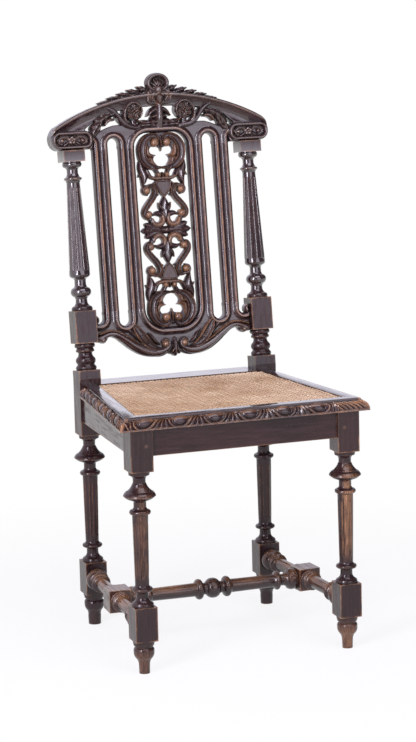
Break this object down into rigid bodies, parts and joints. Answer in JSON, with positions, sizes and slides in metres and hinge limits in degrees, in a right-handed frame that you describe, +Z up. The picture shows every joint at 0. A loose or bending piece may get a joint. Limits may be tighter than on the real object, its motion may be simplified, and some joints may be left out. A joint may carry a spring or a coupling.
{
  "type": "side chair",
  "caption": "Carved side chair with turned fluted legs joined by an H stretcher, a caned seat in a moulded frame and a raked back with slats, a pierced splat and an arched crest.",
  "frame": {"origin": "centre of the chair's bounding box in plan, on the floor plane under the feet", "axes": "+Z up, the front faces -Y, +X to the right as seen from the front"},
  "size_m": [0.469, 0.4623, 1.0264],
  "materials": {
    "oak": "dark stained and waxed, worn brown on the edges",
    "inner_wood": "bare",
    "peg_wood": "stained",
    "cane": "woven split cane",
    "steel": "plain"
  },
  "bodies": {
    "root": {"back_slat_inner_left": "oak", "back_slat_inner_right": "oak", "back_slat_outer_left": "oak", "back_slat_outer_right": "oak", "back_splat": "oak", "cane_panel": "cane", "corner_block_front_left": "inner_wood", "corner_block_front_right": "inner_wood", "corner_block_rear_left": "inner_wood", "corner_block_rear_right": "inner_wood", "corner_block_screws": "steel", "crest_boss": "oak", "crest_leaf_left": "oak", "crest_leaf_right": "oak", "crest_rail": "oak", "cross_stretcher": "oak", "front_leg_left": "oak", "front_leg_right": "oak", "front_rail_pegs": "peg_wood", "front_seat_rail": "oak", "lower_back_rail": "oak", "rear_post_left": "oak", "rear_post_right": "oak", "rear_rail_pegs": "peg_wood", "rear_seat_rail": "oak", "seat_frame_front": "oak", "seat_frame_rear": "oak", "seat_frame_screws": "steel", "seat_frame_side_left": "oak", "seat_frame_side_right": "oak", "seat_mitre_dowels": "peg_wood", "side_seat_rail_left": "oak", "side_seat_rail_right": "oak", "side_stretcher_left": "oak", "side_stretcher_right": "oak"}
  },
  "joints": []
}
